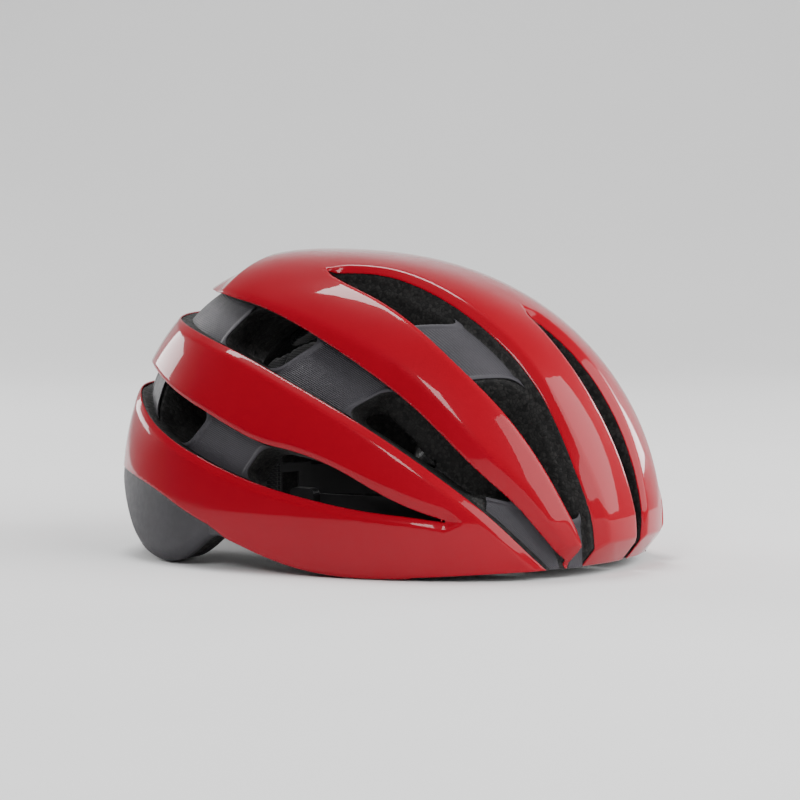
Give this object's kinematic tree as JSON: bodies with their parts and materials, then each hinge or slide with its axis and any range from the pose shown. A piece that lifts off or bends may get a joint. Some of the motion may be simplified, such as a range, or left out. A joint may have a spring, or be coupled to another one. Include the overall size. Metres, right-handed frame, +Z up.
{
  "type": "cycling helmet",
  "caption": "Vented road cycling helmet with an in-moulded foam liner, two gloss shells, dark vent webs, pads and a dial-adjusted rear cradle.",
  "frame": {"origin": "on the surface that the helmet stands on, under the middle of its bounding box", "axes": "+X to the wearer's left, -Y forwards towards the brow, +Z up through the crown"},
  "size_m": [0.2114, 0.2879, 0.1581],
  "materials": {
    "red_shell": "glossy red",
    "dark_panel": "matte dark grey",
    "foam": "beaded black foam",
    "pad_fabric": "knitted black",
    "fit_plastic": "satin black",
    "dial_rubber": "soft grip",
    "screw_steel": "zinc"
  },
  "bodies": {
    "helmet": {"brow_pad": "pad_fabric", "crown_pad": "pad_fabric", "crown_shell": "red_shell", "crown_web_left": "dark_panel", "crown_web_right": "dark_panel", "foam_liner": "foam", "front_brow_panel_left": "dark_panel", "front_brow_panel_right": "dark_panel", "front_headband": "fit_plastic", "height_rail": "fit_plastic", "lower_shell": "red_shell", "lower_web_left": "dark_panel", "lower_web_right": "dark_panel", "rear_lobe_cover": "dark_panel", "rear_webs": "dark_panel", "side_brow_panel_left": "dark_panel", "side_brow_panel_right": "dark_panel", "side_pad_left": "pad_fabric", "side_pad_right": "pad_fabric", "strap_anchors": "fit_plastic", "tail_panel": "dark_panel", "temple_anchor_left": "fit_plastic", "temple_anchor_right": "fit_plastic", "upper_web_left": "dark_panel", "upper_web_right": "dark_panel"},
    "cradle": {"cradle_frame": "fit_plastic", "dial_housing": "fit_plastic", "housing_screws": "screw_steel", "cradle_pad_left": "pad_fabric", "cradle_pad_right": "pad_fabric"},
    "dial": {"dial_knob": "dial_rubber", "dial_pinion": "fit_plastic", "dial_screw": "screw_steel"},
    "left_arm": {"arm_left": "fit_plastic"},
    "right_arm": {"arm_right": "fit_plastic"}
  },
  "joints": [
    {"name": "cradle_height", "type": "slide", "parent": "helmet", "child": "cradle", "axis": [0, 0, 1], "range_m": [-0.006, 0.006]},
    {"name": "dial_turn", "type": "hinge", "parent": "cradle", "child": "dial", "pos_m": [0, 0.09478, 0.03], "axis": [0, -1, 0], "range_deg": [0, 139]},
    {"name": "left_arm_slide", "type": "hinge", "parent": "cradle", "child": "left_arm", "pos_m": [0, 0.02528, 0.03], "axis": [0, 0, 1], "range_deg": [0, 8.1]},
    {"name": "right_arm_slide", "type": "hinge", "parent": "cradle", "child": "right_arm", "pos_m": [0, 0.02528, 0.03], "axis": [0, 0, -1], "range_deg": [0, 8.1]}
  ],
  "couplings": [
    {"joint": "left_arm_slide", "follows": "dial_turn", "ratio": 0.057554},
    {"joint": "right_arm_slide", "follows": "dial_turn", "ratio": 0.057554}
  ]
}
